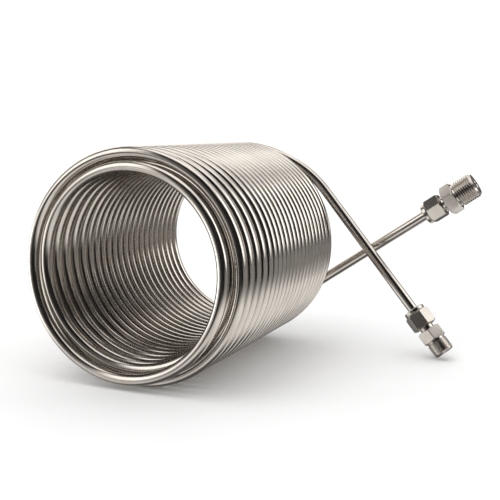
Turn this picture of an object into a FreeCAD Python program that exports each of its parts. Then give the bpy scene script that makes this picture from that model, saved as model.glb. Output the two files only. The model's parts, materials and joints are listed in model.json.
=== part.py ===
import FreeCAD, Part
import math
import os

# Immersion wort chiller: one stainless tube wound as two close layers, the inner one running
# forward and the outer one running back, with a straight leg at each end and a two-ferrule
# compression fitting on each leg. It lies on its side. All lengths are millimetres and all
# angles are degrees. The coil's axis is +Y and its open front end faces -Y. An angle round the
# coil is measured from the top (+Z) towards +X, and a place along the tube is given in turns
# from the front crossover: positive on the outer layer and negative on the inner layer.

Vector = FreeCAD.Vector

# Tube
TUBE_RADIUS = 4.0
TUBE_WALL = 0.8
SEAM_TOLERANCE = 1e-4

# Coil, measured to the tube's centre line
OUTER_LAYER_RADIUS = 80.0
INNER_LAYER_RADIUS = 70.6
FRONT_DEPTH = -3.8
OUTER_OPEN_PITCH = 11.6
OUTER_CLOSE_PITCH = 8.15
INNER_OPEN_PITCH = 11.0
INNER_CLOSE_PITCH = 8.5
OPEN_TURNS = 3.4
CLOSING_TURNS = 3.0

# Crossover, where the inner layer steps out to become the outer layer
CROSSOVER_ANGLE = 135.0
CROSSOVER_START = -0.125
CROSSOVER_END = 0.3125
FRONT_EASE = 0.06
OUTER_COIL_END = 21.653
INNER_COIL_END = -21.875
STATION_STEP = 0.25
CROSSOVER_STEP = 0.0625

# Legs: the point of each leg's line nearest the axis (angle, distance from the axis and depth),
# how the leg leans along the axis, and how far from that point the bend out of the coil ends
# and the back of the nut lies
LARGE_LEG_ANGLE = 146.05
LARGE_LEG_RADIUS = 67.3
LARGE_LEG_DEPTH = 197.6
LARGE_LEG_LEAN = 0.0
LARGE_LEG_BEND_END = 0.0
LARGE_LEG_NUT = 146.2
SMALL_LEG_ANGLE = 48.78
SMALL_LEG_RADIUS = 86.4
SMALL_LEG_DEPTH = 190.5
SMALL_LEG_LEAN = -0.14
SMALL_LEG_BEND_END = 18.0
SMALL_LEG_NUT = 140.3

# Fittings: distances along the fitting run from the back of the nut
CUT_MARGIN = 1.0

# Nut
NUT_LENGTH = 16.5
NUT_COLLAR_LENGTH = 3.5
NUT_COLLAR_RADIUS = 8.5
NUT_BACK_CHAMFER = 0.7
NUT_COLLAR_CHAMFER = 0.5
NUT_ACROSS_FLATS = 18.0
NUT_TUBE_HOLE_RADIUS = 4.1
NUT_SHOULDER_START = 2.6
NUT_BORE_RADIUS = 6.42
NUT_MOUTH_RADIUS = 6.9
NUT_MOUTH_CHAMFER = 0.6

# Ferrules, finger-tight
FERRULE_BORE_RADIUS = 4.05
BACK_FERRULE_START = 2.7
BACK_FERRULE_CONE_END = 4.25
BACK_FERRULE_RADIUS = 5.6
BACK_FERRULE_STEP = 5.2
BACK_FERRULE_SHOULDER_RADIUS = 4.9
BACK_FERRULE_TIP_RADIUS = 4.5
BACK_FERRULE_END = 6.2
FRONT_FERRULE_START = 5.3
FRONT_FERRULE_RADIUS = 5.85
FRONT_FERRULE_CONE_START = 6.5
FRONT_FERRULE_TIP_RADIUS = 4.35
FRONT_FERRULE_END = 9.5
FRONT_FERRULE_SEAT_RADIUS = 5.02
FRONT_FERRULE_SEAT_BOTTOM_RADIUS = 4.61
FRONT_FERRULE_SEAT_BOTTOM = 6.32

# Connector
TUBE_END = 18.5
SOCKET_RADIUS = 4.05
SOCKET_START = 10.2
SOCKET_STOP = 18.6
CONE_MOUTH_RADIUS = 5.405
CONE_BOTTOM_RADIUS = 4.42
CONE_END = 9.6
CONE_STEP_END = 9.8
NOSE_START = 7.7
NOSE_THREAD_START = 7.9
NOSE_THREAD_END = 16.8
NOSE_PITCH = 1.27
NOSE_CREST_RADIUS = 6.35
NOSE_ROOT_RADIUS = 5.57
NECK_RADIUS = 5.6
NECK_RAMP = 0.4
HEX_START = 19.6
HEX_LENGTH = 9.8
THROUGH_BORE_RADIUS = 3.2
BORE_MOUTH_CHAMFER = 0.6
THREAD_RELIEF = 1.3
THREAD_RELIEF_DEPTH = 0.1

# Hexagons and thread ridges
HEX_SIDES = 6
HEX_CHAMFER_SLOPE = math.tan(math.radians(30.0))
HEX_FACE_SHARE = 0.955
RIDGE_FLANK = 0.3
RIDGE_CREST = 0.3

# Each end's own sizes: pipe threads of the half-inch and the three-eighths-inch size
FITTINGS = {
    "large_fitting": {
        "across_flats": 22.0,
        "crest": 10.478,
        "root": 9.316,
        "pitch": 1.814,
        "thread_length": 17.5,
        "end_chamfer": 1.9,
        "nut_turn": -9.5,
        "body_turn": -18.0,
    },
    "small_fitting": {
        "across_flats": 18.0,
        "crest": 8.331,
        "root": 7.475,
        "pitch": 1.337,
        "thread_length": 12.2,
        "end_chamfer": 1.3,
        "nut_turn": 23.4,
        "body_turn": -15.3,
    },
}


# ---- the coil's centre line ----

def layer_depth(turns, open_pitch, close_pitch):
    """How far back a layer has come: open turns at the front, easing into close ones."""
    eased = min(max((turns - OPEN_TURNS) / CLOSING_TURNS, 0.0), 1.0)
    easing = eased / 2 + math.sin(math.pi * eased) / (2 * math.pi)
    open_share = min(turns, OPEN_TURNS) + CLOSING_TURNS * easing
    return close_pitch * turns + (open_pitch - close_pitch) * open_share


def coil_radius(turns):
    """The inner layer's radius, easing out to the outer layer's across the crossover."""
    share = (turns - CROSSOVER_START) / (CROSSOVER_END - CROSSOVER_START)
    share = min(max(share, 0.0), 1.0)
    step = share * share * (3 - 2 * share)
    return INNER_LAYER_RADIUS + (OUTER_LAYER_RADIUS - INNER_LAYER_RADIUS) * step


def coil_point(turns):
    """A point of the coil's centre line."""
    angle = math.radians(CROSSOVER_ANGLE + 360 * turns)
    radius = coil_radius(turns)
    away = math.hypot(turns, FRONT_EASE) - FRONT_EASE
    if turns < 0:
        depth = layer_depth(away, INNER_OPEN_PITCH, INNER_CLOSE_PITCH)
    else:
        depth = layer_depth(away, OUTER_OPEN_PITCH, OUTER_CLOSE_PITCH)
    return Vector(radius * math.sin(angle), FRONT_DEPTH + depth, radius * math.cos(angle))


def coil_station(turns):
    """A point of the centre line with its direction of travel, inner layer to outer layer."""
    nudge = 1e-4
    direction = coil_point(turns + nudge) - coil_point(turns - nudge)
    return coil_point(turns), direction.normalize()


def coil_stations(start, end, step):
    """Stations from one place to another, evenly spaced and about a step apart."""
    count = round((end - start) / step)
    return [coil_station(start + (end - start) * i / count) for i in range(count + 1)]


def leg_line(angle, radius, depth, lean, outward):
    """A leg's first point and its direction towards the fitting."""
    turn = math.radians(angle)
    point = Vector(radius * math.sin(turn), depth, radius * math.cos(turn))
    direction = Vector(outward * math.cos(turn), lean, -outward * math.sin(turn))
    return point, direction.normalize()


# ---- tubes ----

def arc_between(point, tangent, target):
    """The arc that starts along the tangent and ends at the target: centre, axis, angle."""
    chord = target - point
    axis = tangent.cross(chord).normalize()
    inward = axis.cross(tangent)
    radius = chord.dot(chord) / (2 * chord.dot(inward))
    angle = 2 * math.degrees(tangent.getAngle(chord))
    return point + inward * radius, axis, angle


def two_arcs(start, end):
    """Two tangent arcs that join two stations and share their directions."""
    (p0, t0), (p1, t1) = start, end
    chord = p1 - p0
    both = t0 + t1
    a = both.dot(both) - 4
    b = -2 * chord.dot(both)
    c = chord.dot(chord)
    reach = (-b - math.sqrt(b * b - 4 * a * c)) / (2 * a)
    corner0 = p0 + t0 * reach
    corner1 = p1 - t1 * reach
    middle = (corner0 + corner1) * 0.5
    mid_tangent = (corner1 - corner0).normalize()
    return [arc_between(p0, t0, middle), arc_between(middle, mid_tangent, p1)]


def ring_face(circles):
    """The flat ring between a tube's outer and inner circle."""
    wires = [Part.Wire([circle]) for circle in circles]
    return Part.makeFace(wires, "Part::FaceMakerBullseye")


def tube_along(stations, run=0.0):
    """A hollow tube through the stations, with a straight run after the last one."""
    point, tangent = stations[0]
    circles = [
        Part.Circle(point, tangent, radius).toShape()
        for radius in (TUBE_RADIUS, TUBE_RADIUS - TUBE_WALL)
    ]
    faces = [ring_face(circles)]
    for start, end in zip(stations, stations[1:]):
        for centre, axis, angle in two_arcs(start, end):
            faces += [circle.revolve(centre, axis, angle) for circle in circles]
            circles = [circle.copy() for circle in circles]
            for circle in circles:
                circle.rotate(centre, axis, angle)
    if run:
        straight = stations[-1][1] * run
        faces += [circle.extrude(straight) for circle in circles]
        circles = [circle.translated(straight) for circle in circles]
    faces.append(ring_face(circles))
    skin = Part.makeCompound(faces)
    skin.sewShape()
    tube = Part.Solid(skin.Shells[0])
    tube.fix(SEAM_TOLERANCE, SEAM_TOLERANCE, SEAM_TOLERANCE)
    return tube


def leg_tube(coil_end, leg, bend_end, nut):
    """A leg: the bend out of the coil, then straight on into its connector."""
    point, direction = leg
    return tube_along([coil_end, (point + direction * bend_end, direction)],
                      nut + TUBE_END - bend_end)


# ---- fittings, built along +Z from the back of the nut ----

def turned(profile):
    """A solid turned about Z from a closed outline of (radius, height) points."""
    corners = [Vector(radius, 0, height) for radius, height in profile]
    outline = Part.makePolygon(corners + corners[:1])
    return Part.Face(outline).revolve(Vector(), Vector(0, 0, 1), 360)


def hexagon(across_flats, start, end, turn):
    """A hexagonal bar with both end faces chamfered at 30 degrees."""
    corner = across_flats / math.sqrt(3)
    points = []
    for side in range(HEX_SIDES + 1):
        angle = math.radians(360 / HEX_SIDES * side + turn)
        points.append(Vector(corner * math.cos(angle), corner * math.sin(angle), start))
    bar = Part.Face(Part.makePolygon(points)).extrude(Vector(0, 0, end - start))
    face_radius = across_flats / 2 * HEX_FACE_SHARE
    drop = (corner - face_radius) * HEX_CHAMFER_SLOPE
    envelope = turned([
        (0, start),
        (face_radius, start),
        (corner, start + drop),
        (corner, end - drop),
        (face_radius, end),
        (0, end),
    ])
    return bar.common(envelope)


def ridges(start, end, pitch, crest, root):
    """Points of a screw thread's outline, as parallel ridges from start towards end."""
    points = []
    for ridge in range(int((end - start) / pitch)):
        foot = start + pitch * ridge
        points.append((root, foot))
        points.append((crest, foot + pitch * RIDGE_FLANK))
        points.append((crest, foot + pitch * (RIDGE_FLANK + RIDGE_CREST)))
        points.append((root, foot + pitch * (2 * RIDGE_FLANK + RIDGE_CREST)))
    points.append((root, end))
    return points


def compression_nut(turn):
    """The nut: a round collar at the back, a hexagon, and a stepped bore."""
    shoulder_end = NUT_SHOULDER_START + NUT_BORE_RADIUS - NUT_TUBE_HOLE_RADIUS
    collar = turned([
        (0, 0),
        (NUT_COLLAR_RADIUS - NUT_BACK_CHAMFER, 0),
        (NUT_COLLAR_RADIUS, NUT_BACK_CHAMFER),
        (NUT_COLLAR_RADIUS, NUT_COLLAR_LENGTH - NUT_COLLAR_CHAMFER),
        (NUT_COLLAR_RADIUS - NUT_COLLAR_CHAMFER, NUT_COLLAR_LENGTH),
        (0, NUT_COLLAR_LENGTH),
    ])
    bore = turned([
        (0, -CUT_MARGIN),
        (NUT_TUBE_HOLE_RADIUS, -CUT_MARGIN),
        (NUT_TUBE_HOLE_RADIUS, NUT_SHOULDER_START),
        (NUT_BORE_RADIUS, shoulder_end),
        (NUT_BORE_RADIUS, NUT_LENGTH - NUT_MOUTH_CHAMFER),
        (NUT_MOUTH_RADIUS, NUT_LENGTH),
        (NUT_MOUTH_RADIUS, NUT_LENGTH + CUT_MARGIN),
        (0, NUT_LENGTH + CUT_MARGIN),
    ])
    bar = hexagon(NUT_ACROSS_FLATS, NUT_COLLAR_LENGTH, NUT_LENGTH, turn)
    return collar.fuse(bar).cut(bore).removeSplitter()


def back_ferrule():
    """The small ferrule that the nut's shoulder pushes on."""
    return turned([
        (FERRULE_BORE_RADIUS, BACK_FERRULE_START),
        (BACK_FERRULE_RADIUS, BACK_FERRULE_CONE_END),
        (BACK_FERRULE_RADIUS, BACK_FERRULE_STEP),
        (BACK_FERRULE_SHOULDER_RADIUS, BACK_FERRULE_STEP),
        (BACK_FERRULE_TIP_RADIUS, BACK_FERRULE_END),
        (FERRULE_BORE_RADIUS, BACK_FERRULE_END),
    ])


def front_ferrule():
    """The long tapered ferrule that seals in the connector's cone."""
    return turned([
        (FRONT_FERRULE_SEAT_RADIUS, FRONT_FERRULE_START),
        (FRONT_FERRULE_RADIUS, FRONT_FERRULE_START),
        (FRONT_FERRULE_RADIUS, FRONT_FERRULE_CONE_START),
        (FRONT_FERRULE_TIP_RADIUS, FRONT_FERRULE_END),
        (FERRULE_BORE_RADIUS, FRONT_FERRULE_END),
        (FERRULE_BORE_RADIUS, FRONT_FERRULE_SEAT_BOTTOM),
        (FRONT_FERRULE_SEAT_BOTTOM_RADIUS, FRONT_FERRULE_SEAT_BOTTOM),
    ])


def connector(size):
    """The connector body: threaded nose, neck, hexagon, male pipe thread and a through bore."""
    crest = size["crest"]
    chamfer = size["end_chamfer"]
    relief_radius = size["root"] - THREAD_RELIEF_DEPTH
    hex_end = HEX_START + HEX_LENGTH
    thread_start = hex_end + THREAD_RELIEF
    end = hex_end + size["thread_length"]
    outline = [(0, NOSE_START), (NOSE_ROOT_RADIUS, NOSE_START)]
    outline += ridges(NOSE_THREAD_START, NOSE_THREAD_END, NOSE_PITCH, NOSE_CREST_RADIUS,
                      NOSE_ROOT_RADIUS)
    outline += [(NECK_RADIUS, NOSE_THREAD_END + NECK_RAMP), (NECK_RADIUS, hex_end)]
    outline += [(relief_radius, hex_end), (relief_radius, thread_start)]
    outline += ridges(thread_start, end, size["pitch"], crest, size["root"])
    outline.append((0, end))
    end_chamfer = turned([
        (crest - chamfer, end),
        (crest + CUT_MARGIN, end - chamfer - CUT_MARGIN),
        (crest + CUT_MARGIN, end + CUT_MARGIN),
        (crest - chamfer, end + CUT_MARGIN),
    ])
    bore = turned([
        (0, NOSE_START - CUT_MARGIN),
        (CONE_MOUTH_RADIUS, NOSE_START - CUT_MARGIN),
        (CONE_MOUTH_RADIUS, NOSE_START),
        (CONE_BOTTOM_RADIUS, CONE_END),
        (CONE_BOTTOM_RADIUS, CONE_STEP_END),
        (SOCKET_RADIUS, SOCKET_START),
        (SOCKET_RADIUS, SOCKET_STOP),
        (THROUGH_BORE_RADIUS, SOCKET_STOP),
        (THROUGH_BORE_RADIUS, end - BORE_MOUTH_CHAMFER),
        (THROUGH_BORE_RADIUS + BORE_MOUTH_CHAMFER, end),
        (THROUGH_BORE_RADIUS + BORE_MOUTH_CHAMFER, end + CUT_MARGIN),
        (0, end + CUT_MARGIN),
    ])
    bar = hexagon(size["across_flats"], HEX_START, hex_end, size["body_turn"])
    body = turned(outline).cut(end_chamfer).fuse(bar)
    return body.cut(bore).removeSplitter()


def fitting_placement(point, direction, run):
    """Puts a fitting's Z along its leg and its X towards the front of the coil."""
    front = Vector(0, -1, 0)
    side = (front - direction * front.dot(direction)).normalize()
    across = direction.cross(side)
    turn = FreeCAD.Rotation(side, across, direction, "ZXY")
    return FreeCAD.Placement(point + direction * run, turn)


# ---- the whole chiller ----

LARGE_LEG = leg_line(LARGE_LEG_ANGLE, LARGE_LEG_RADIUS, LARGE_LEG_DEPTH, LARGE_LEG_LEAN, -1)
SMALL_LEG = leg_line(SMALL_LEG_ANGLE, SMALL_LEG_RADIUS, SMALL_LEG_DEPTH, SMALL_LEG_LEAN, 1)
PLACES = {
    "large_fitting": fitting_placement(*LARGE_LEG, LARGE_LEG_NUT),
    "small_fitting": fitting_placement(*SMALL_LEG, SMALL_LEG_NUT),
}


def build():
    """All nodes by name, in the coil's own frame."""
    point, tangent = coil_station(INNER_COIL_END)
    inner_end = (point, tangent * -1)
    nodes = {
        "tube_inner_coil": tube_along(coil_stations(INNER_COIL_END, CROSSOVER_START,
                                                    STATION_STEP)),
        "tube_crossover": tube_along(coil_stations(CROSSOVER_START, CROSSOVER_END,
                                                   CROSSOVER_STEP)),
        "tube_outer_coil": tube_along(coil_stations(CROSSOVER_END, OUTER_COIL_END,
                                                    STATION_STEP)),
        "tube_large_leg": leg_tube(inner_end, LARGE_LEG, LARGE_LEG_BEND_END, LARGE_LEG_NUT),
        "tube_small_leg": leg_tube(coil_station(OUTER_COIL_END), SMALL_LEG,
                                   SMALL_LEG_BEND_END, SMALL_LEG_NUT),
    }
    for fitting, size in FITTINGS.items():
        pieces = {
            "nut": compression_nut(size["nut_turn"]),
            "back_ferrule": back_ferrule(),
            "front_ferrule": front_ferrule(),
            "connector": connector(size),
        }
        for name, shape in pieces.items():
            shape.Placement = PLACES[fitting].multiply(shape.Placement)
            nodes[fitting + "_" + name] = shape
    return nodes


def base_centre(nodes):
    """The middle of the bottom of the box round all nodes."""
    box = FreeCAD.BoundBox()
    for shape in nodes.values():
        box.add(shape.optimalBoundingBox(False))
    return Vector(box.Center.x, box.Center.y, box.ZMin)


os.makedirs("parts", exist_ok=True)
NODES = build()
ORIGIN = base_centre(NODES)
for node, shape in NODES.items():
    shape.translated(-ORIGIN).exportStep("parts/" + node + ".step")
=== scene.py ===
import json
import math

import bpy
import numpy as np
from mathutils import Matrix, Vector


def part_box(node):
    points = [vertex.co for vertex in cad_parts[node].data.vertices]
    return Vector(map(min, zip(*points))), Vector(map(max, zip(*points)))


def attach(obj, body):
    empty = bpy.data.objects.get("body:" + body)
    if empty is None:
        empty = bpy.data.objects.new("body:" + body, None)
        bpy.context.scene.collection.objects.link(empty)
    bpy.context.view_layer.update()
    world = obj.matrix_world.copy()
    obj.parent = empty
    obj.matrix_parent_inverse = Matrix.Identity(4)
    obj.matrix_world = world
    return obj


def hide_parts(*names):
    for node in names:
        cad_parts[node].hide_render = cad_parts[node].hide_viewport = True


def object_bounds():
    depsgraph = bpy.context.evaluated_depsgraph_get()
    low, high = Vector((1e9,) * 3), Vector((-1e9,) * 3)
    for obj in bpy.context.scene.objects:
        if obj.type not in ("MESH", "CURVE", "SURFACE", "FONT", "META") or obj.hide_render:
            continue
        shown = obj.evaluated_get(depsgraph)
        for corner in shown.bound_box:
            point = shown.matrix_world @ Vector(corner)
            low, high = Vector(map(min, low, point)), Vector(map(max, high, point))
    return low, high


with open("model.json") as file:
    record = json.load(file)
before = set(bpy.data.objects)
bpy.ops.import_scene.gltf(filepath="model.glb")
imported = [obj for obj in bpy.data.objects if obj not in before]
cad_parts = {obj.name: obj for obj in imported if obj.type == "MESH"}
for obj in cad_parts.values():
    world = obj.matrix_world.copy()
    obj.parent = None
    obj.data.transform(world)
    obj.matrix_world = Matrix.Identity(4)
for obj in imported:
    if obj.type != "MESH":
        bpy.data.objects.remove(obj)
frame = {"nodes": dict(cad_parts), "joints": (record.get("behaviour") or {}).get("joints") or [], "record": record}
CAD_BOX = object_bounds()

# Immersion wort chiller: a stainless tube wound in two close layers, two crossing legs, and a
# compression fitting on each leg. Lengths are metres and angles are degrees. The tube is worked
# out in the coil's own frame, whose axis is +Y and whose zero is on that axis near the front,
# and is then moved by ZERO into the row's frame.
MM = 0.001

# Tube and coil. Places along the coil are in turns from the front crossover, and the inner
# layer's are negative.
TUBE_RADIUS = 4.0 * MM
BORE_RADIUS = 3.2 * MM
BORE_DEPTH = 40 * MM
OUTER_LAYER_RADIUS = 80.0 * MM
INNER_LAYER_RADIUS = 70.6 * MM
FRONT_DEPTH = -3.8 * MM
OUTER_PITCHES = (11.6 * MM, 8.15 * MM)
INNER_PITCHES = (11.0 * MM, 8.5 * MM)
OPEN_TURNS = 3.4
CLOSING_TURNS = 3.0
CROSSOVER_ANGLE = 135.0
CROSSOVER_START = -0.125
CROSSOVER_END = 0.3125
FRONT_EASE = 0.06
INNER_COIL_END = -21.875
OUTER_COIL_END = 21.653
RINGS_PER_TURN = 80
TUBE_SIDES = 24
TUBE_EDGE = 0.15 * MM
TUBE_SHARP_ANGLE = 50
WOBBLE = 0.10 * MM

# Legs: how far the bend out of the coil ends from the leg's point nearest the coil's axis, the
# depth of the large leg, which doesn't lean, and the rings along the straights and the bends
LEG_BEND_END = {"large": 0.0, "small": 18.0 * MM}
LARGE_LEG_DEPTH = 197.6 * MM
LEG_RING_GAP = 5 * MM
ARC_RINGS = 10

# Fittings: starts and ends are distances from the back of the nut
TUBE_END = 18.5 * MM

# The nut's collar and hexagon, then its bore
NUT_HOLE_RADIUS = 4.1 * MM
NUT_HOLE_DEPTH = 2.6 * MM
NUT_HOLE_BEVEL = 0.2 * MM
COLLAR_RADIUS = 8.5 * MM
COLLAR_BEVEL = 0.7 * MM
COLLAR_EDGE = 3.0 * MM
COLLAR_NECK_RADIUS = 8.1 * MM
COLLAR_NECK_START = 3.42 * MM
COLLAR_END = 3.5 * MM
COLLAR_FILLET = 0.18 * MM
NUT_FLATS = 18.0 * MM
NUT_LENGTH = 16.5 * MM
NUT_MOUTH_RADIUS = 6.95 * MM
NUT_MOUTH_END = 16.1 * MM
NUT_MOUTH_END_RADIUS = 6.6 * MM
NUT_THREAD = (16.0 * MM, 8.0 * MM)
NUT_MINOR_RADIUS = 5.75 * MM
NUT_RELIEF_RADIUS = 6.45 * MM
NUT_RELIEF_START = 7.8 * MM
NUT_BORE_RADIUS = 6.42 * MM
NUT_BORE_START = 4.92 * MM

# The connector's nose and neck, then its hexagon and pipe thread
NOSE_START = 7.7 * MM
NOSE_THREAD = (7.9 * MM, 16.8 * MM)
NOSE_PITCH = 1.27 * MM
NOSE_CREST = 6.35 * MM
NOSE_ROOT = 5.57 * MM
NOSE_FADE = 0.7 * NOSE_PITCH
NECK_RADIUS = 5.6 * MM
NECK_START = 17.2 * MM
NECK_FLARE = 0.3 * MM
HEX_START = 19.6 * MM
HEX_END = 29.4 * MM
THREAD_GAP = 0.07 * MM
THREAD_RELIEF = 1.3 * MM
THREAD_RELIEF_DEPTH = 0.1 * MM
THREAD_RELIEF_FLARE = 0.25 * MM
THREAD_RUN_IN = 0.05 * MM
THREAD_RISE = 1.2
END_INSET = 0.02 * MM
END_LIP = 0.15 * MM

# The connector's inside, from the pipe end back to the cone that the front ferrule seats in
WATER_WAY_RADIUS = 3.2 * MM
WATER_WAY_BEVEL = 0.6 * MM
FACE_LIP = 0.2 * MM
SOCKET_RADIUS = 4.05 * MM
SOCKET_START = 10.2 * MM
SOCKET_END = 18.6 * MM
CONE_BOTTOM_RADIUS = 4.42 * MM
CONE_BOTTOM_START = 9.6 * MM
CONE_BOTTOM_END = 9.8 * MM
CONE_MOUTH_RADIUS = 5.405 * MM

# How finely the fittings are drawn, and the shape of their hexagons, threads and fillets. A
# fillet takes up at most one part in SIDE_TO_FILLET of the sides beside it.
ROWS_PER_PITCH = 12
CORNER_COLUMNS = (0, 0.5, 1.1, 2.0, 4.0)
FLAT_COLUMNS = 10
HEX_SOFTNESS = 0.12 * MM
HEX_LIP = 0.12 * MM
HEX_END_SHARE = 0.955
HEX_CHAMFER = math.radians(30)
THREAD_FLATNESS = 1.9
FILLET_SHARES = (0, 0.33, 0.67, 1)
SIDE_TO_FILLET = 2.2
FITTING_SHARP_ANGLE = 38
FLAT_FACE_WEIGHT = 90

# What differs between the fittings: the connector's hexagon, then the pipe thread's radii, pitch,
# length and chamfer, and how far a corner of each hexagon is turned from the front
FITTINGS = {
    "large": {"flats": 22.0 * MM, "crest": 10.478 * MM, "root": 9.316 * MM,
              "pitch": 1.814 * MM, "thread": 17.5 * MM, "chamfer": 1.9 * MM,
              "nut_turn": -9.5, "body_turn": -18.0},
    "small": {"flats": 18.0 * MM, "crest": 8.331 * MM, "root": 7.475 * MM,
              "pitch": 1.337 * MM, "thread": 12.2 * MM, "chamfer": 1.3 * MM,
              "nut_turn": 23.4, "body_turn": -15.3},
}

# Camera, in the coil's own frame: it looks 8 degrees down and is turned to the left
CAMERA_PLACE = (304.65 * MM, -507.22 * MM, 96.16 * MM)
CAMERA_TURN = (90 - 8.0, 0.0, 23.1)
CAMERA_LENS = 62.9
CAMERA_SENSOR = 36.0

# Steel: its colours, the noise ranges that blend its tones and roughness, the size of its
# patches, and the roughness and depth of the lines that drawing or turning leaves
BRIGHT_STEEL = (0.60, 0.565, 0.525)
DULL_TUBE_STEEL = (0.54, 0.505, 0.465)
DULL_FITTING_STEEL = (0.53, 0.495, 0.455)
TONE_RANGE = (0.35, 0.65)
ROUGHNESS_RANGE = (0.3, 0.7)
PATCH_SCALE = 55.0
PATCH_DETAIL = 3.0
LINE_DETAIL = 5.0
LINE_ROUGHNESS = 0.015
LINE_DEPTH = 0.02 * MM

# Floor: its two tones of white, the size of their grain, and how matt it is
FLOOR_COLOURS = ((0.90, 0.90, 0.90), (0.93, 0.93, 0.93))
FLOOR_GRAIN = 30.0
FLOOR_ROUGHNESS = 0.9

# Studio. The floor and the dome round it are plain white. What the steel mirrors is the studio:
# its dim glow, and soft panels. A panel is its azimuth from +Y towards +X, elevation, width,
# height and edge blur, all in degrees, and its strength. Those below the horizon are the table.
# They were first laid out from an estimate of the room that the photographed steel mirrors, then
# divided, shifted and given their strengths one by one, for the camera's view.
ROOM_GLOW = 0.01
DOME_GLOW = 1.11
STUDIO_COLOUR = (1.0, 0.98, 0.95, 1)
FLOOR_MIDDLE = (0.05, 0.45)
FLOOR_RADIUS = 0.95
FLOOR_SIDES = 96
FLOOR_GAP = 0.2 * MM
PANELS = (
    (0, 90, 400, 50, 8, 1.6),
    (60, 55, 120, 22, 8, 1.25),
    (-60, 55, 120, 22, 8, 0.1),
    (50, 24, 30, 46, 6, 1.55),
    (80, 24, 24, 46, 6, 2.9),
    (-20, 22, 44, 50, 6, 1.5),
    (-60, 24, 36, 50, 8, 1.6),
    (-97, 20, 36, 36, 8, 0.4),
    (-97, -10, 46, 28, 8, 2.8),
    (-135, 25, 36, 50, 8, 1.9),
    (-167, 15, 22, 50, 8, 0.1),
    (65, -12, 110, 18, 5, 0.32),
    (65, -40, 110, 34, 8, 1.15),
    (155, -40, 70, 34, 8, 1.0),
    (-130, -40, 80, 34, 8, 0.8),
    (-40, -40, 90, 34, 8, 0.25),
    (-130, -14, 34, 16, 5, 1.2),
    (0, -90, 400, 66, 8, 0.12),
)

MOUNTS = {m["name"]: m for m in frame["record"]["mounts"]}
JOINTS = {j["name"]: j for j in frame["joints"]}


def zero_of_coil():
    """Where the coil's own frame has its zero, in the row's frame."""
    low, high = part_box("tube_outer_coil")
    depth = MOUNTS["large_pipe_thread"]["pos_m"][1] - LARGE_LEG_DEPTH
    return np.array([(low.x + high.x) / 2, depth, (low.z + high.z) / 2])


ZERO = zero_of_coil()


def unit(vector):
    """The vector at length one."""
    return vector / np.linalg.norm(vector)


# ---- the tube's centre line ----

def layer_depth(turns, pitches):
    """How far back a layer has come: open turns at the front, easing into close ones."""
    open_pitch, close_pitch = pitches
    eased = np.clip((turns - OPEN_TURNS) / CLOSING_TURNS, 0, 1)
    easing = eased / 2 + np.sin(np.pi * eased) / (2 * np.pi)
    open_share = np.minimum(turns, OPEN_TURNS) + CLOSING_TURNS * easing
    return close_pitch * turns + (open_pitch - close_pitch) * open_share


def coil_points(turns):
    """Points of the coil at places given in turns from the front crossover."""
    angle = np.radians(CROSSOVER_ANGLE + 360 * turns)
    share = np.clip((turns - CROSSOVER_START) / (CROSSOVER_END - CROSSOVER_START), 0, 1)
    step = share * share * (3 - 2 * share)
    radius = INNER_LAYER_RADIUS + (OUTER_LAYER_RADIUS - INNER_LAYER_RADIUS) * step
    away = np.hypot(turns, FRONT_EASE) - FRONT_EASE
    depth = np.where(turns < 0, layer_depth(away, INNER_PITCHES),
                     layer_depth(away, OUTER_PITCHES))
    # hand-wound turns are never quite round: each dips inwards a little here and there
    ease = np.clip(np.minimum(turns - INNER_COIL_END, OUTER_COIL_END - turns), 0, 1)
    dip = 0.5 + 0.3 * np.sin(3 * angle + 0.31 * turns) + 0.2 * np.sin(7 * angle - 0.83 * turns)
    radius = radius - WOBBLE * ease * dip
    ease = ease * np.clip(away / 2, 0, 1)
    depth = depth + 0.4 * WOBBLE * ease * np.sin(2 * angle + 0.47 * turns)
    return np.stack([radius * np.sin(angle), FRONT_DEPTH + depth, radius * np.cos(angle)], -1)


def fitting_axis(side):
    return np.array(MOUNTS[side + "_pipe_thread"]["axis"], float)


def fitting_base(side):
    """The middle of the nut's back face, in the row's frame."""
    return np.array(JOINTS[side + "_nut_turn"]["pos_m"], float)


def leg_foot(side):
    """The leg line's point nearest the coil's axis, in the coil's own frame."""
    way = fitting_axis(side)
    across = way * [1, 0, 1]
    nut = fitting_base(side) - ZERO
    return nut - way * (nut @ across) / (across @ across)


def arc_points(point, tangent, target, count):
    """Points along the arc that leaves along the tangent and ends at the target."""
    chord = target - point
    axis = unit(np.cross(tangent, chord))
    inward = np.cross(axis, tangent)
    radius = chord @ chord / (2 * chord @ inward)
    sweep = 2 * math.acos(np.clip(tangent @ unit(chord), -1, 1))
    angles = np.linspace(0, sweep, count + 1)[1:, None]
    return point + inward * radius * (1 - np.cos(angles)) + tangent * radius * np.sin(angles)


def bend_points(start, start_way, end, end_way):
    """Points of two tangent arcs from one place and direction to another, without the first."""
    chord = end - start
    both = start_way + end_way
    # how far the bend's two corners lie from its ends, by the quadratic formula
    square = both @ both - 4
    linear = -2 * chord @ both
    fixed = chord @ chord
    reach = (-linear - math.sqrt(linear * linear - 4 * square * fixed)) / (2 * square)
    corner = start + start_way * reach
    far_corner = end - end_way * reach
    middle = (corner + far_corner) / 2
    first = arc_points(start, start_way, middle, ARC_RINGS)
    second = arc_points(middle, unit(far_corner - corner), end, ARC_RINGS)
    return np.concatenate([first, second])


def leg_points(side, coil_end, coil_way):
    """A leg's points from just past the coil's end to the tube's end in the connector."""
    way = fitting_axis(side)
    bend_end = leg_foot(side) + way * LEG_BEND_END[side]
    bend = bend_points(coil_end, coil_way, bend_end, way)
    length = (fitting_base(side) - ZERO - bend_end) @ way + TUBE_END
    steps = np.linspace(0, length, round(length / LEG_RING_GAP) + 1)[1:, None]
    return np.concatenate([bend, bend[-1] + way * steps])


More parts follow.
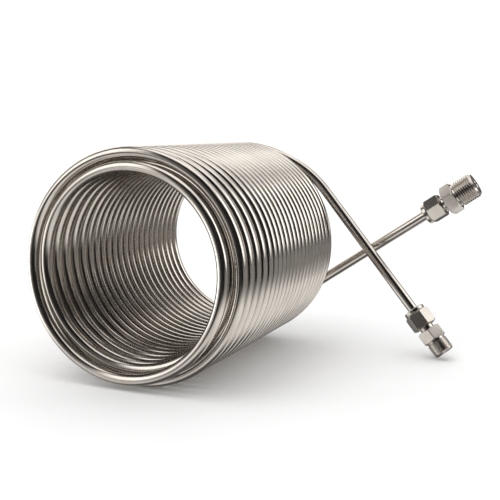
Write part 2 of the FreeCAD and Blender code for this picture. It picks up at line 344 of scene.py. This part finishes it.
def tube_centre_line():
    """The whole tube, from the large fitting through both layers to the small fitting."""
    count = round((OUTER_COIL_END - INNER_COIL_END) * RINGS_PER_TURN)
    coil = coil_points(np.linspace(INNER_COIL_END, OUTER_COIL_END, count + 1))
    nudge = 1e-4
    ends = coil_points(np.array([INNER_COIL_END, INNER_COIL_END + nudge,
                                 OUTER_COIL_END - nudge, OUTER_COIL_END]))
    large = leg_points("large", ends[0], unit(ends[0] - ends[1]))
    small = leg_points("small", ends[3], unit(ends[3] - ends[2]))
    return np.concatenate([large[::-1], coil, small])


# ---- mesh building ----

def new_mesh(name, points, faces, attributes):
    """A smooth mesh object in the row's frame, with named vectors kept on its points."""
    mesh = bpy.data.meshes.new(name)
    mesh.from_pydata(points.tolist(), [], faces)
    for key, values in attributes.items():
        layer = mesh.attributes.new(key, "FLOAT_VECTOR", "POINT")
        layer.data.foreach_set("vector", values.astype(np.float32).ravel())
    mesh.polygons.foreach_set("use_smooth", [True] * len(mesh.polygons))
    mesh.update()
    piece = bpy.data.objects.new(name, mesh)
    bpy.context.scene.collection.objects.link(piece)
    return piece


def ring_faces(rings, sides, closed):
    """Quads between rings that follow each other, and from the last to the first if closed."""
    faces = []
    for ring in range(rings if closed else rings - 1):
        here = ring * sides
        there = (ring + 1) % rings * sides
        for side in range(sides):
            beside = (side + 1) % sides
            faces.append((here + side, here + beside, there + beside, there + side))
    return faces


def carried_frames(line):
    """Tangents and a pair of side directions along a line, carried with no twist."""
    ways = np.gradient(line, axis=0)
    ways /= np.linalg.norm(ways, axis=1)[:, None]
    sides = np.empty_like(line)
    sides[0] = unit(np.cross(ways[0], [0, 1, 0]))
    for index in range(1, len(line)):
        side = sides[index - 1]
        sides[index] = unit(side - ways[index] * (side @ ways[index]))
    return ways, sides, np.cross(ways, sides)


def make_tube():
    """The one long tube. Its bore is open for a stretch at each end, where it can be seen."""
    line = tube_centre_line()
    run = np.concatenate([[0], np.cumsum(np.linalg.norm(np.diff(line, axis=0), axis=1))])
    ways, sides, ups = carried_frames(line)
    angles = np.linspace(0, 2 * np.pi, TUBE_SIDES, endpoint=False)

    def section(index, shift, radius):
        centre = line[index] + ways[index] * shift
        around = np.outer(np.cos(angles), sides[index]) + np.outer(np.sin(angles), ups[index])
        flat = np.stack([np.full(TUBE_SIDES, run[index] + shift), radius * np.cos(angles),
                         radius * np.sin(angles)], -1)
        return centre + radius * around, flat

    last = len(line) - 1
    order = [(0, BORE_DEPTH, BORE_RADIUS), (0, TUBE_EDGE, BORE_RADIUS),
             (0, 0.0, BORE_RADIUS + TUBE_EDGE), (0, 0.0, TUBE_RADIUS - TUBE_EDGE),
             (0, TUBE_EDGE, TUBE_RADIUS)]
    order += [(index, 0.0, TUBE_RADIUS) for index in range(1, last)]
    order += [(last, -shift, radius) for _, shift, radius in reversed(order[:5])]
    made = [section(*entry) for entry in order]
    points = np.concatenate([entry[0] for entry in made]) + ZERO
    straight = np.concatenate([entry[1] for entry in made])
    faces = ring_faces(len(order), TUBE_SIDES, False)
    faces.append(tuple(reversed(range(TUBE_SIDES))))
    foot = (len(order) - 1) * TUBE_SIDES
    faces.append(tuple(range(foot, foot + TUBE_SIDES)))
    piece = new_mesh("tube", points, faces, {"straight": straight})
    piece.data.set_sharp_from_angle(angle=math.radians(TUBE_SHARP_ANGLE))
    return piece


# ---- fittings ----

def columns(turn):
    """Angles round a fitting, with more of them beside the hexagon's corners."""
    near = list(CORNER_COLUMNS)
    far = [60 - gap for gap in near[:0:-1]]
    middle = list(np.linspace(near[-1], far[0], FLAT_COLUMNS + 2)[1:-1])
    spread = near + middle + far
    return np.radians([60 * side + turn + gap for side in range(6) for gap in spread])


class Turning:
    """Rings round a fitting's axis, each with a radius and a height at every column."""

    def __init__(self, turn):
        self.angles = columns(turn)
        self.turn = math.radians(turn)
        self.rings = []

    def ring(self, radius, height):
        """One ring; its radius and height are numbers, or have a value for every column."""
        shape = np.ones(len(self.angles))
        self.rings.append((radius * shape, height * shape))

    def profile(self, corners, fillet=0.0):
        """Rings at (radius, height) corners; inner corners are rounded by the fillet."""
        for index, corner in enumerate(corners):
            if fillet and 0 < index < len(corners) - 1:
                here = np.array(corner)
                before = np.array(corners[index - 1]) - here
                after = np.array(corners[index + 1]) - here
                size = min(fillet, np.linalg.norm(before) / SIDE_TO_FILLET,
                           np.linalg.norm(after) / SIDE_TO_FILLET)
                start = here + unit(before) * size
                end = here + unit(after) * size
                for share in FILLET_SHARES:
                    spot = ((1 - share) ** 2 * start + 2 * share * (1 - share) * here
                            + share ** 2 * end)
                    self.ring(*spot)
            else:
                self.ring(*corner)

    def hexagon(self, flats, start, end):
        """A hexagonal length with 30 degree chamfers and slightly rounded corners."""
        gap = (self.angles - self.turn) % math.radians(60)
        apothem = flats / 2
        first, second, third = (apothem / np.cos(gap - math.radians(middle))
                                for middle in (30, 90, -30))
        soft = sum(np.exp(-(side - first) / HEX_SOFTNESS) for side in (second, third))
        radius = first - HEX_SOFTNESS * np.log(1 + soft)
        face = apothem * HEX_END_SHARE
        drop = (radius - face) * math.tan(HEX_CHAMFER)
        edge = [(face - HEX_LIP, 0.0), (face, 0.3 * HEX_LIP),
                (radius - HEX_LIP, drop - 0.4 * HEX_LIP), (radius, drop + HEX_LIP)]
        for reach, rise in edge:
            self.ring(reach, start + rise)
        for reach, rise in reversed(edge):
            self.ring(reach, end - rise)

    def thread(self, start, end, pitch, radius_at, zero):
        """Rows along a helical thread; radius_at takes a height and a phase in turns."""
        count = max(2, round(abs(end - start) / pitch * ROWS_PER_PITCH))
        for height in np.linspace(start, end, count + 1):
            phase = (height - zero) / pitch - self.angles / (2 * np.pi)
            self.ring(radius_at(height, phase), height)

    def piece(self, name, base, axis):
        """The closed mesh, standing on the base with its height along the axis."""
        front = np.array([0.0, -1.0, 0.0])
        side = unit(front - axis * (front @ axis))
        across = np.cross(axis, side)
        radius = np.concatenate([ring[0] for ring in self.rings])
        height = np.concatenate([ring[1] for ring in self.rings])
        angle = np.tile(self.angles, len(self.rings))
        local = np.stack([radius * np.cos(angle), radius * np.sin(angle), height], -1)
        points = base + local @ np.stack([side, across, axis])
        faces = ring_faces(len(self.rings), len(self.angles), True)
        made = new_mesh(name, points, faces, {"turned": local})
        made.data.set_sharp_from_angle(angle=math.radians(FITTING_SHARP_ANGLE))
        weighted = made.modifiers.new("flat_faces", "WEIGHTED_NORMAL")
        weighted.keep_sharp = True
        weighted.weight = FLAT_FACE_WEIGHT
        return made


def ridge(phase):
    """A thread ridge's height from 0 to 1, with a flattened crest and root."""
    wave = np.sin(2 * np.pi * phase)
    return 0.5 + 0.5 * np.tanh(THREAD_FLATNESS * wave) / math.tanh(THREAD_FLATNESS)


def nose_radius(height, phase):
    """The nose's thread, which fades into its root at both ends."""
    start, end = NOSE_THREAD
    fade = np.clip(min(height - start, end - height) / NOSE_FADE, 0, 1)
    return NOSE_ROOT + (NOSE_CREST - NOSE_ROOT) * ridge(phase) * fade


def nut_thread_radius(height, phase):
    """The nut's thread: the nose's with a gap round it, its inner crests cut back."""
    outer = NOSE_ROOT + (NOSE_CREST - NOSE_ROOT) * ridge(phase)
    return np.maximum(outer + THREAD_GAP, NUT_MINOR_RADIUS)


def make_nut(side, base, axis):
    """The nut: round collar, hexagon, and a bore threaded to run on the connector's nose."""
    part = Turning(FITTINGS[side]["nut_turn"])
    part.profile([(NUT_HOLE_RADIUS, NUT_HOLE_DEPTH), (NUT_HOLE_RADIUS, NUT_HOLE_BEVEL),
                  (NUT_HOLE_RADIUS + NUT_HOLE_BEVEL, 0.0), (COLLAR_RADIUS - COLLAR_BEVEL, 0.0),
                  (COLLAR_RADIUS, COLLAR_BEVEL), (COLLAR_RADIUS, COLLAR_EDGE),
                  (COLLAR_NECK_RADIUS, COLLAR_NECK_START),
                  (COLLAR_NECK_RADIUS, COLLAR_END)], COLLAR_FILLET)
    part.hexagon(NUT_FLATS, COLLAR_END, NUT_LENGTH)
    part.profile([(NUT_MOUTH_RADIUS, NUT_LENGTH), (NUT_MOUTH_END_RADIUS, NUT_MOUTH_END)])
    part.thread(*NUT_THREAD, NOSE_PITCH, nut_thread_radius, NOSE_START)
    part.profile([(NUT_RELIEF_RADIUS, NUT_RELIEF_START), (NUT_BORE_RADIUS, NUT_BORE_START)])
    return part.piece(side + "_nut", base, axis)


def make_connector(side, base, axis):
    """The connector: threaded nose, neck, hexagon, pipe thread, and the water way inside."""
    size = FITTINGS[side]
    crest, root, chamfer = size["crest"], size["root"], size["chamfer"]
    start = HEX_END + THREAD_RELIEF
    end = HEX_END + size["thread"] - END_INSET
    relief = root - THREAD_RELIEF_DEPTH

    def pipe_radius(height, phase):
        """The pipe thread, under a rising start and a 45 degree chamfer at the end."""
        cut = min(crest - chamfer + (end - height), relief + (height - start) * THREAD_RISE)
        return np.minimum(root + (crest - root) * ridge(phase), cut)

    part = Turning(size["body_turn"])
    part.profile([(CONE_MOUTH_RADIUS, NOSE_START), (NOSE_ROOT, NOSE_START)])
    part.thread(*NOSE_THREAD, NOSE_PITCH, nose_radius, NOSE_START)
    part.profile([(NECK_RADIUS, NECK_START), (NECK_RADIUS, HEX_START - NECK_FLARE),
                  (NECK_RADIUS + NECK_FLARE, HEX_START)])
    part.hexagon(size["flats"], HEX_START, HEX_END)
    part.profile([(relief + THREAD_RELIEF_FLARE, HEX_END),
                  (relief, HEX_END + THREAD_RELIEF_FLARE), (relief, start)])
    part.thread(start + THREAD_RUN_IN, end, size["pitch"], pipe_radius, start)
    bevel_radius = WATER_WAY_RADIUS + WATER_WAY_BEVEL
    part.profile([(crest - chamfer - END_LIP, end), (bevel_radius + FACE_LIP, end),
                  (bevel_radius, end), (WATER_WAY_RADIUS, end - WATER_WAY_BEVEL),
                  (WATER_WAY_RADIUS, SOCKET_END), (SOCKET_RADIUS, SOCKET_END),
                  (SOCKET_RADIUS, SOCKET_START), (CONE_BOTTOM_RADIUS, CONE_BOTTOM_END),
                  (CONE_BOTTOM_RADIUS, CONE_BOTTOM_START)])
    return part.piece(side + "_connector", base, axis)


# ---- materials ----

def new_material(name):
    made = bpy.data.materials.new(name)
    made.use_nodes = True
    made.node_tree.nodes.clear()
    return made, made.node_tree.nodes, made.node_tree.links


def noise(nodes, links, vector, scale, detail):
    made = nodes.new("ShaderNodeTexNoise")
    made.inputs["Scale"].default_value = scale
    made.inputs["Detail"].default_value = detail
    links.new(vector, made.inputs["Vector"])
    return made.outputs["Fac"]


def stretched(nodes, links, vector, scale):
    made = nodes.new("ShaderNodeMapping")
    made.inputs["Scale"].default_value = scale
    links.new(vector, made.inputs["Vector"])
    return made.outputs["Vector"]


def ramp(nodes, links, value, low, high, low_out, high_out, kind="LINEAR"):
    made = nodes.new("ShaderNodeMapRange")
    made.interpolation_type = kind
    for key, number in zip(("From Min", "From Max", "To Min", "To Max"),
                           (low, high, low_out, high_out)):
        made.inputs[key].default_value = number
    links.new(value, made.inputs["Value"])
    return made.outputs["Result"]


def mix_colours(nodes, links, share, first, second):
    made = nodes.new("ShaderNodeMix")
    made.data_type = "RGBA"
    made.inputs["A"].default_value = (*first, 1)
    made.inputs["B"].default_value = (*second, 1)
    links.new(share, made.inputs["Factor"])
    return made.outputs["Result"]


def math_node(nodes, links, operation, first, second=None):
    made = nodes.new("ShaderNodeMath")
    made.operation = operation
    for socket, value in zip(made.inputs, (first, second)):
        if isinstance(value, (int, float)):
            socket.default_value = value
        elif value is not None:
            links.new(value, socket)
    return made.outputs[0]


def show(nodes, links, shader):
    output = nodes.new("ShaderNodeOutputMaterial")
    links.new(shader.outputs["BSDF"], output.inputs["Surface"])


def steel(name, source, line_scale, dull, roughness, bump):
    """Stainless steel: fine lines left by drawing or turning, patchy tone and roughness.

    The source names the points' attribute that the pattern follows; with none it is solid.
    """
    made, nodes, links = new_material(name)
    if source:
        attribute = nodes.new("ShaderNodeAttribute")
        attribute.attribute_name = source
        place = attribute.outputs["Vector"]
    else:
        place = nodes.new("ShaderNodeTexCoord").outputs["Object"]
    lines = noise(nodes, links, stretched(nodes, links, place, line_scale), 1.0, LINE_DETAIL)
    patches = noise(nodes, links, place, PATCH_SCALE, PATCH_DETAIL)
    shader = nodes.new("ShaderNodeBsdfPrincipled")
    shader.inputs["Metallic"].default_value = 1.0
    links.new(mix_colours(nodes, links, ramp(nodes, links, patches, *TONE_RANGE, 0, 1),
                          BRIGHT_STEEL, dull), shader.inputs["Base Color"])
    links.new(math_node(nodes, links, "ADD",
                        ramp(nodes, links, patches, *ROUGHNESS_RANGE, *roughness),
                        ramp(nodes, links, lines, *ROUGHNESS_RANGE,
                             -LINE_ROUGHNESS, LINE_ROUGHNESS)),
              shader.inputs["Roughness"])
    relief = nodes.new("ShaderNodeBump")
    relief.inputs["Strength"].default_value = bump
    relief.inputs["Distance"].default_value = LINE_DEPTH
    links.new(lines, relief.inputs["Height"])
    links.new(relief.outputs["Normal"], shader.inputs["Normal"])
    show(nodes, links, shader)
    return made


def floor_material():
    made, nodes, links = new_material("pale_floor")
    place = nodes.new("ShaderNodeTexCoord").outputs["Object"]
    grain = noise(nodes, links, place, FLOOR_GRAIN, PATCH_DETAIL)
    shader = nodes.new("ShaderNodeBsdfPrincipled")
    links.new(mix_colours(nodes, links, grain, *FLOOR_COLOURS), shader.inputs["Base Color"])
    shader.inputs["Roughness"].default_value = FLOOR_ROUGHNESS
    show(nodes, links, shader)
    return made


def paint(piece, material):
    piece.data.materials.clear()
    piece.data.materials.append(material)


# ---- studio ----

def make_floor():
    """A round white floor, as bright as the dome past its edge. Panels stand for it in steel."""
    angles = np.linspace(0, 2 * np.pi, FLOOR_SIDES, endpoint=False)
    points = np.stack([FLOOR_MIDDLE[0] + FLOOR_RADIUS * np.cos(angles),
                       FLOOR_MIDDLE[1] + FLOOR_RADIUS * np.sin(angles),
                       np.full(FLOOR_SIDES, CAD_BOX[0][2] - FLOOR_GAP)], -1)
    floor = new_mesh("floor", points, [tuple(range(FLOOR_SIDES))], {})
    floor.visible_glossy = False
    paint(floor, floor_material())


def soft_light(name, place, target, size, watts):
    """A square soft light that the steel doesn't mirror: it only shades the floor."""
    data = bpy.data.lights.new(name, "AREA")
    data.size = size
    data.energy = watts
    light = bpy.data.objects.new(name, data)
    light.location = place
    way = Vector(target) - Vector(place)
    light.rotation_euler = way.to_track_quat("-Z", "Y").to_euler()
    light.visible_glossy = False
    bpy.context.scene.collection.objects.link(light)


def dot(nodes, links, vector, way):
    made = nodes.new("ShaderNodeVectorMath")
    made.operation = "DOT_PRODUCT"
    made.inputs[1].default_value = way
    links.new(vector, made.inputs[0])
    return made.outputs["Value"]


def soft_panel(nodes, links, ray, azimuth, elevation, width, height, blur, strength):
    """The glow of one far soft panel."""
    turn = math.radians(azimuth)
    level = nodes.new("ShaderNodeVectorMath")
    level.operation = "MULTIPLY"
    level.inputs[1].default_value = (1, 1, 0)
    links.new(ray, level.inputs[0])
    heading = nodes.new("ShaderNodeVectorMath")
    heading.operation = "NORMALIZE"
    links.new(level.outputs["Vector"], heading.inputs[0])
    aside = math_node(nodes, links, "ARCCOSINE", dot(
        nodes, links, heading.outputs["Vector"], (math.sin(turn), math.cos(turn), 0)))
    rise = math_node(nodes, links, "ARCSINE", dot(nodes, links, ray, (0, 0, 1)))
    above = math_node(nodes, links, "ABSOLUTE", math_node(
        nodes, links, "SUBTRACT", rise, math.radians(elevation)))
    glow = strength
    for offset, size in ((aside, width), (above, height)):
        edge = math.radians(size / 2)
        side = ramp(nodes, links, offset, edge - math.radians(blur), edge + math.radians(blur),
                    1, 0, "SMOOTHSTEP")
        glow = math_node(nodes, links, "MULTIPLY", side, glow)
    return glow


def make_world():
    """A white dome that lights the floor, and the studio of soft panels that the steel mirrors."""
    world = bpy.data.worlds.new("studio")
    bpy.context.scene.world = world
    world.use_nodes = True
    nodes, links = world.node_tree.nodes, world.node_tree.links
    nodes.clear()
    ray = nodes.new("ShaderNodeTexCoord").outputs["Generated"]
    total = ROOM_GLOW
    for panel in PANELS:
        total = math_node(nodes, links, "ADD", soft_panel(nodes, links, ray, *panel), total)
    studio = nodes.new("ShaderNodeBackground")
    studio.inputs["Color"].default_value = STUDIO_COLOUR
    links.new(total, studio.inputs["Strength"])
    dome = nodes.new("ShaderNodeBackground")
    dome.inputs["Color"].default_value = (1, 1, 1, 1)
    dome.inputs["Strength"].default_value = DOME_GLOW
    path = nodes.new("ShaderNodeLightPath")
    choose = nodes.new("ShaderNodeMixShader")
    links.new(path.outputs["Is Glossy Ray"], choose.inputs["Fac"])
    links.new(dome.outputs["Background"], choose.inputs[1])
    links.new(studio.outputs["Background"], choose.inputs[2])
    output = nodes.new("ShaderNodeOutputWorld")
    links.new(choose.outputs["Shader"], output.inputs["Surface"])


def make_camera():
    data = bpy.data.cameras.new("camera")
    data.lens = CAMERA_LENS
    data.sensor_width = CAMERA_SENSOR
    data.clip_start = 0.01
    camera = bpy.data.objects.new("camera", data)
    camera.location = ZERO + np.array(CAMERA_PLACE)
    camera.rotation_euler = [math.radians(turn) for turn in CAMERA_TURN]
    bpy.context.scene.collection.objects.link(camera)
    bpy.context.scene.camera = camera


# ---- making it all ----

make_camera()
make_world()
make_floor()
soft_light("shade_light", place=(-0.3, -0.4, 1.4), target=(0, 0, 0.08), size=0.8, watts=3)
bpy.context.scene.view_settings.view_transform = "Standard"

tube_steel = steel("drawn_tube_steel", "straight", line_scale=(60.0, 5000.0, 5000.0),
                   dull=DULL_TUBE_STEEL, roughness=(0.12, 0.165), bump=0.06)
fitting_steel = steel("machined_steel", "turned", line_scale=(700.0, 700.0, 7000.0),
                      dull=DULL_FITTING_STEEL, roughness=(0.13, 0.20), bump=0.1)
ferrule_steel = steel("ferrule_steel", None, line_scale=(2500.0, 2500.0, 2500.0),
                      dull=DULL_FITTING_STEEL, roughness=(0.15, 0.22), bump=0.1)

tube = make_tube()
paint(tube, tube_steel)
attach(tube, "coil")
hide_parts("tube_inner_coil", "tube_crossover", "tube_outer_coil",
            "tube_large_leg", "tube_small_leg")
for side in FITTINGS:
    base = fitting_base(side)
    axis = fitting_axis(side)
    nut = make_nut(side, base, axis)
    connector = make_connector(side, base, axis)
    for piece, body, node in ((nut, side + "_nut", side + "_fitting_nut"),
                              (connector, "coil", side + "_fitting_connector")):
        paint(piece, fitting_steel)
        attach(piece, body)
        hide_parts(node)
    for ferrule in ("_fitting_back_ferrule", "_fitting_front_ferrule"):
        paint(frame["nodes"][side + ferrule], ferrule_steel)
